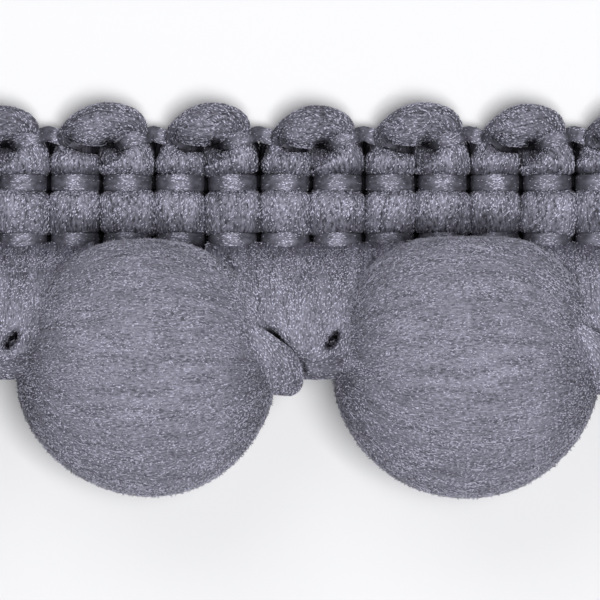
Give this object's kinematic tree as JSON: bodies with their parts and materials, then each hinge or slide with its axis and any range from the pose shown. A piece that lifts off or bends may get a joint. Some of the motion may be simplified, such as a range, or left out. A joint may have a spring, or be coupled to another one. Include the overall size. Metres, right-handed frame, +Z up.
{
  "type": "pompom fringe trim",
  "caption": "Narrow looped-yarn heading with a picot edge and a row of round sheared pompoms tied in yarn webs below it, a cut length lying face up.",
  "frame": {"origin": "on the surface that the trim lies on, under the middle of its bounding box", "axes": "+X along the trim, +Y across it towards the picot loops, +Z up out of its face"},
  "size_m": [0.0482, 0.0149, 0.0097],
  "materials": {
    "heading_yarn": "soft grey yarn with a slight lilac cast and a low silk sheen",
    "tie_yarn": "the heading's yarn, twisted tight",
    "pompom_pile": "sheared velvety pile of the same grey yarn"
  },
  "bodies": {
    "root": {"heading_yarn": "heading_yarn", "web_1": "heading_yarn", "web_2": "heading_yarn", "web_3": "heading_yarn", "web_left_end": "heading_yarn", "web_right_end": "heading_yarn", "tie_1": "tie_yarn", "tie_2": "tie_yarn", "tie_3": "tie_yarn", "tie_left_end": "tie_yarn", "tie_right_end": "tie_yarn", "pompom_1": "pompom_pile", "pompom_2": "pompom_pile", "pompom_3": "pompom_pile", "pompom_4": "pompom_pile"}
  },
  "joints": []
}
